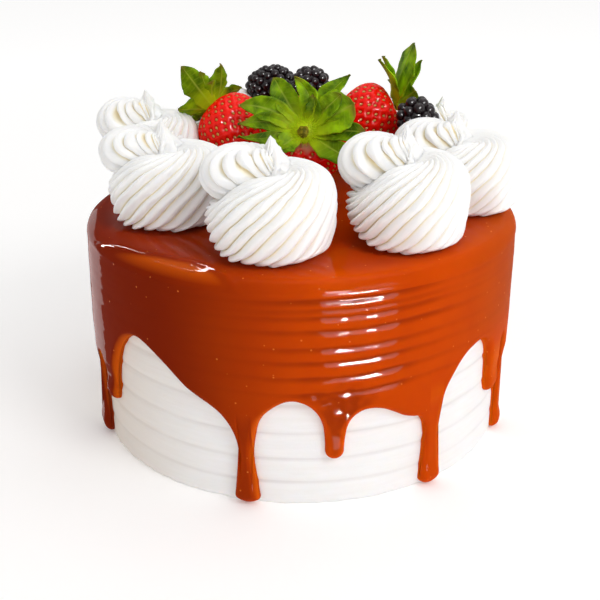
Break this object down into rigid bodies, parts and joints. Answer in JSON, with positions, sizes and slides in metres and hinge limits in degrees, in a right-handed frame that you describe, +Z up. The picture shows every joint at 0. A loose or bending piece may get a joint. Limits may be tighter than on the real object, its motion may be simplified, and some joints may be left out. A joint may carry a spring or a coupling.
{
  "type": "layer cake",
  "caption": "Round layer cake in white icing under a dripping caramel glaze, with piped whipped-cream rosettes round a heap of strawberries and dark berries.",
  "frame": {"origin": "middle of the cake's flat underside", "axes": "+Z up; the side that the picture shows faces -Y"},
  "size_m": [0.1816, 0.1761, 0.1519],
  "materials": {
    "icing": "matte",
    "caramel": "gloss",
    "cream": "satin",
    "strawberry": "gloss",
    "leaf": "satin",
    "bramble": "gloss"
  },
  "bodies": {
    "root": {"cake": "icing", "caramel_glaze": "caramel", "rosette_front": "cream", "rosette_front_right": "cream", "rosette_right": "cream", "rosette_back_right": "cream", "rosette_back": "cream", "rosette_back_left": "cream", "rosette_left": "cream", "rosette_front_left": "cream", "strawberry_centre": "strawberry", "strawberry_left": "strawberry", "strawberry_right": "strawberry", "calyx_centre": "leaf", "calyx_left": "leaf", "calyx_right": "leaf", "bramble_right": "bramble", "bramble_back_right": "bramble", "bramble_back_left": "bramble"}
  },
  "joints": []
}
